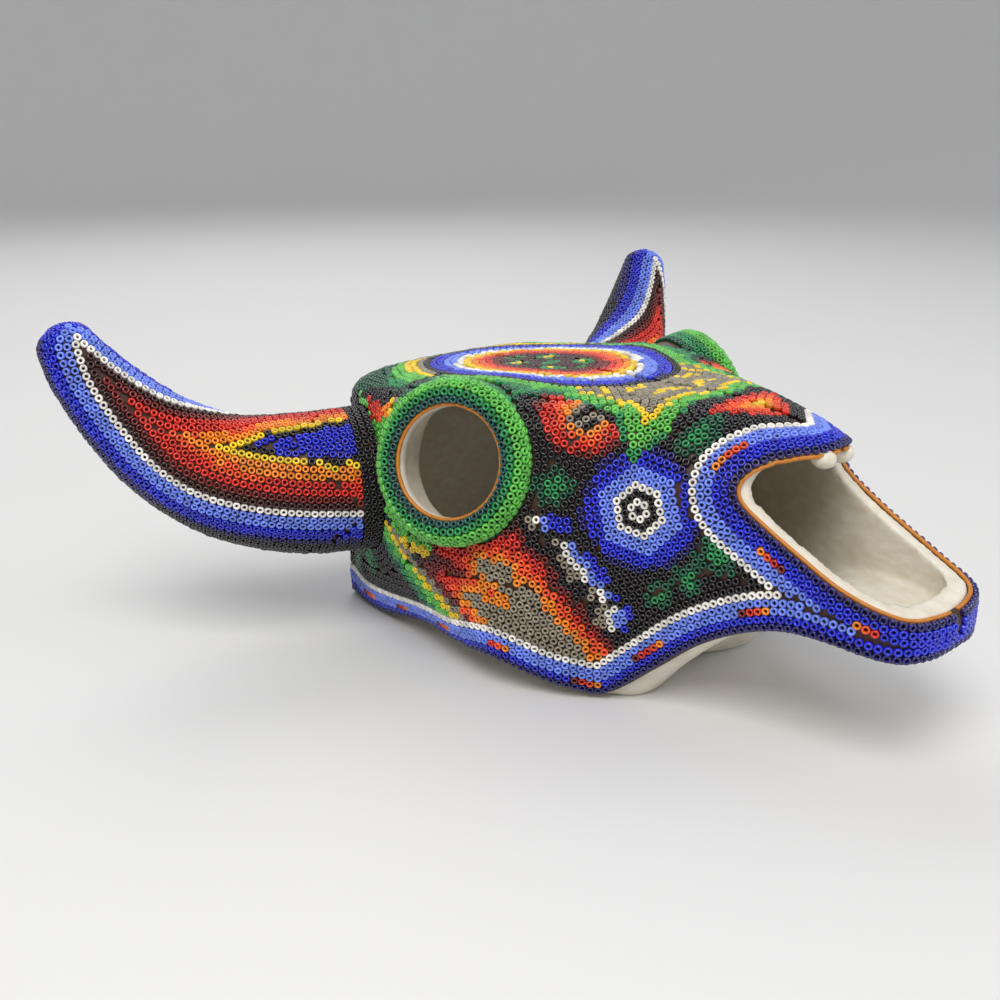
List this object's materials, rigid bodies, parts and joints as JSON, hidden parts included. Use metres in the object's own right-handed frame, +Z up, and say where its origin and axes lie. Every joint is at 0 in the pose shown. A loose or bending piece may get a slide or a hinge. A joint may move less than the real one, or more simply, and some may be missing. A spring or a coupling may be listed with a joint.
{
  "type": "beaded bull skull figure",
  "caption": "Hollow ceramic bull skull with two curved horns, covered in patterned glass seed beads set in beeswax.",
  "frame": {"origin": "middle of the whole figure's outline, on the surface it rests on", "axes": "+Z up, snout towards -Y, the skull's own left horn towards +X"},
  "size_m": [0.2458, 0.202, 0.0935],
  "materials": {
    "ceramic": "smooth unglazed cream-white slip casting with hand-trimmed edges",
    "beeswax": "waxy orange-brown, slightly translucent",
    "glass_green": "opaque glossy seed beads in light green, green and dark teal",
    "glass_blue": "opaque glossy seed beads in white, light blue, blue and navy",
    "glass_orange": "opaque glossy seed beads in orange, red, yellow, white, blue and dark brown",
    "glass_yellow": "opaque glossy seed beads in yellow, greens, taupe and black",
    "glass_red": "opaque glossy seed beads in red, orange, yellow, white and blue",
    "glass_black": "opaque glossy seed beads, mostly black with coloured motifs"
  },
  "bodies": {
    "root": {"skull_casting": "ceramic", "skull_wax": "beeswax", "horn_core_left": "ceramic", "horn_core_right": "ceramic", "horn_wax_left": "beeswax", "horn_wax_right": "beeswax", "beads_eye_ring_left": "glass_green", "beads_eye_ring_right": "glass_green", "beads_nasal_rim": "glass_blue", "beads_hem": "glass_blue", "beads_forehead_medallion": "glass_orange", "beads_forehead_star": "glass_yellow", "beads_nose_bridge": "glass_red", "beads_occiput": "glass_black", "beads_cheek_left": "glass_black", "beads_cheek_right": "glass_black", "beads_temple_left": "glass_green", "beads_temple_right": "glass_green", "beads_horn_collar_left": "glass_black", "beads_horn_collar_right": "glass_black", "beads_horn_left": "glass_red", "beads_horn_right": "glass_red"}
  },
  "joints": []
}
